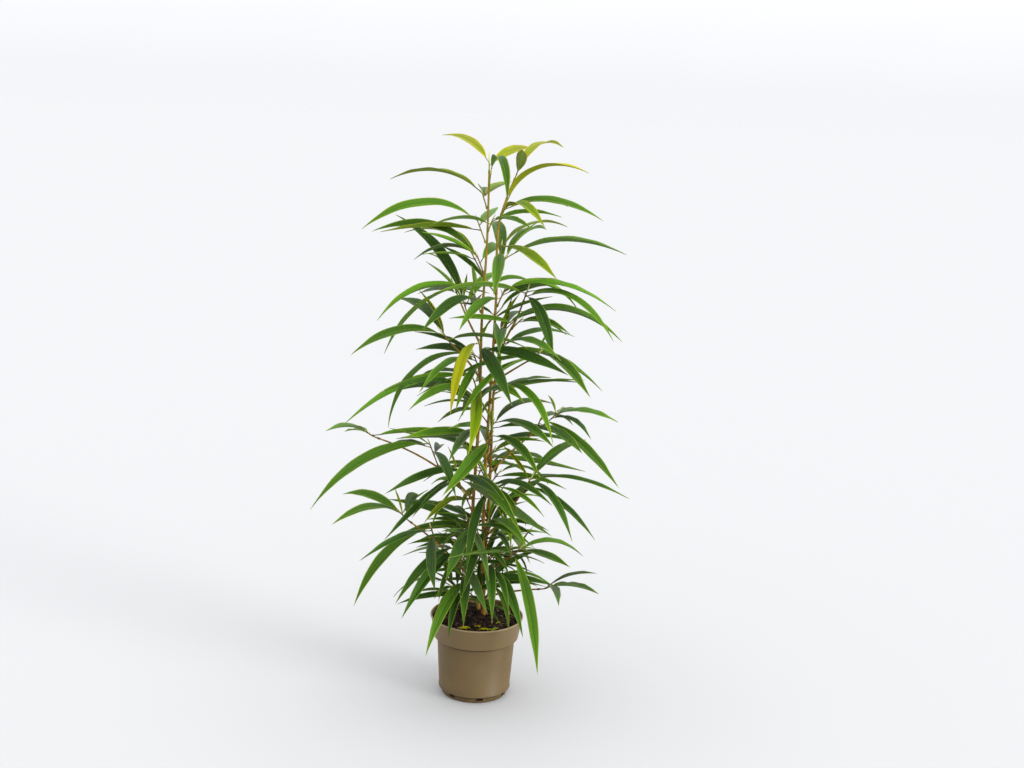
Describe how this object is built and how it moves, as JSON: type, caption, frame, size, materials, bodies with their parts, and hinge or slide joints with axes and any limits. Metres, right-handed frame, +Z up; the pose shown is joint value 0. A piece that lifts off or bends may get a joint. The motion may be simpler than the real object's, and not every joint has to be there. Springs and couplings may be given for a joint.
{
  "type": "potted ficus alii plant",
  "caption": "Narrow-leaved indoor fig with slender upright stems, arching side boughs and long drooping leaves, in a round nursery pot.",
  "frame": {"origin": "centre of the pot's flat underside", "axes": "+Z up along the stems, +X to the right and -Y to the front of the plant"},
  "size_m": [0.5665, 0.4821, 1.0292],
  "materials": {
    "pot_plastic": "taupe moulded plastic, satin",
    "soil": "dark moist peat with bark crumbs",
    "bark": "smooth olive-brown bark",
    "foliage": "satin green leaves on green twigs"
  },
  "bodies": {
    "root": {"nursery_pot": "pot_plastic", "potting_soil": "soil", "stem_left": "bark", "stem_right": "bark", "stem_back": "bark", "bough_left_1": "bark", "bough_left_2": "bark", "bough_left_3": "bark", "bough_left_4": "bark", "bough_right_1": "bark", "bough_right_2": "bark", "bough_right_3": "bark", "bough_right_4": "bark", "bough_right_5": "bark", "foliage_stem_left_01": "foliage", "foliage_stem_left_02": "foliage", "foliage_stem_left_03": "foliage", "foliage_stem_left_04": "foliage", "foliage_stem_left_05": "foliage", "foliage_stem_left_06": "foliage", "foliage_stem_left_07": "foliage", "foliage_stem_left_08": "foliage", "foliage_stem_left_09": "foliage", "foliage_stem_left_10": "foliage", "foliage_stem_left_11": "foliage", "foliage_stem_left_12": "foliage", "foliage_stem_left_13": "foliage", "foliage_stem_left_14": "foliage", "foliage_bough_left_4_01": "foliage", "foliage_bough_left_4_02": "foliage", "foliage_bough_left_3_01": "foliage", "foliage_bough_left_2_01": "foliage", "foliage_bough_left_2_02": "foliage", "foliage_bough_left_2_03": "foliage", "foliage_bough_left_1_01": "foliage", "foliage_bough_left_1_02": "foliage", "foliage_bough_left_1_03": "foliage", "foliage_stem_right_01": "foliage", "foliage_stem_right_02": "foliage", "foliage_stem_right_03": "foliage", "foliage_stem_right_04": "foliage", "foliage_stem_right_05": "foliage", "foliage_stem_right_06": "foliage", "foliage_stem_right_07": "foliage", "foliage_stem_right_08": "foliage", "foliage_stem_right_09": "foliage", "foliage_stem_right_10": "foliage", "foliage_stem_right_11": "foliage", "foliage_stem_right_12": "foliage", "foliage_stem_back_01": "foliage", "foliage_stem_back_02": "foliage", "foliage_stem_back_03": "foliage", "foliage_stem_back_04": "foliage", "foliage_bough_right_5_01": "foliage", "foliage_bough_right_4_01": "foliage", "foliage_bough_right_4_02": "foliage", "foliage_bough_right_3_01": "foliage", "foliage_bough_right_2_01": "foliage", "foliage_bough_right_2_02": "foliage", "foliage_bough_right_1_01": "foliage"}
  },
  "joints": []
}
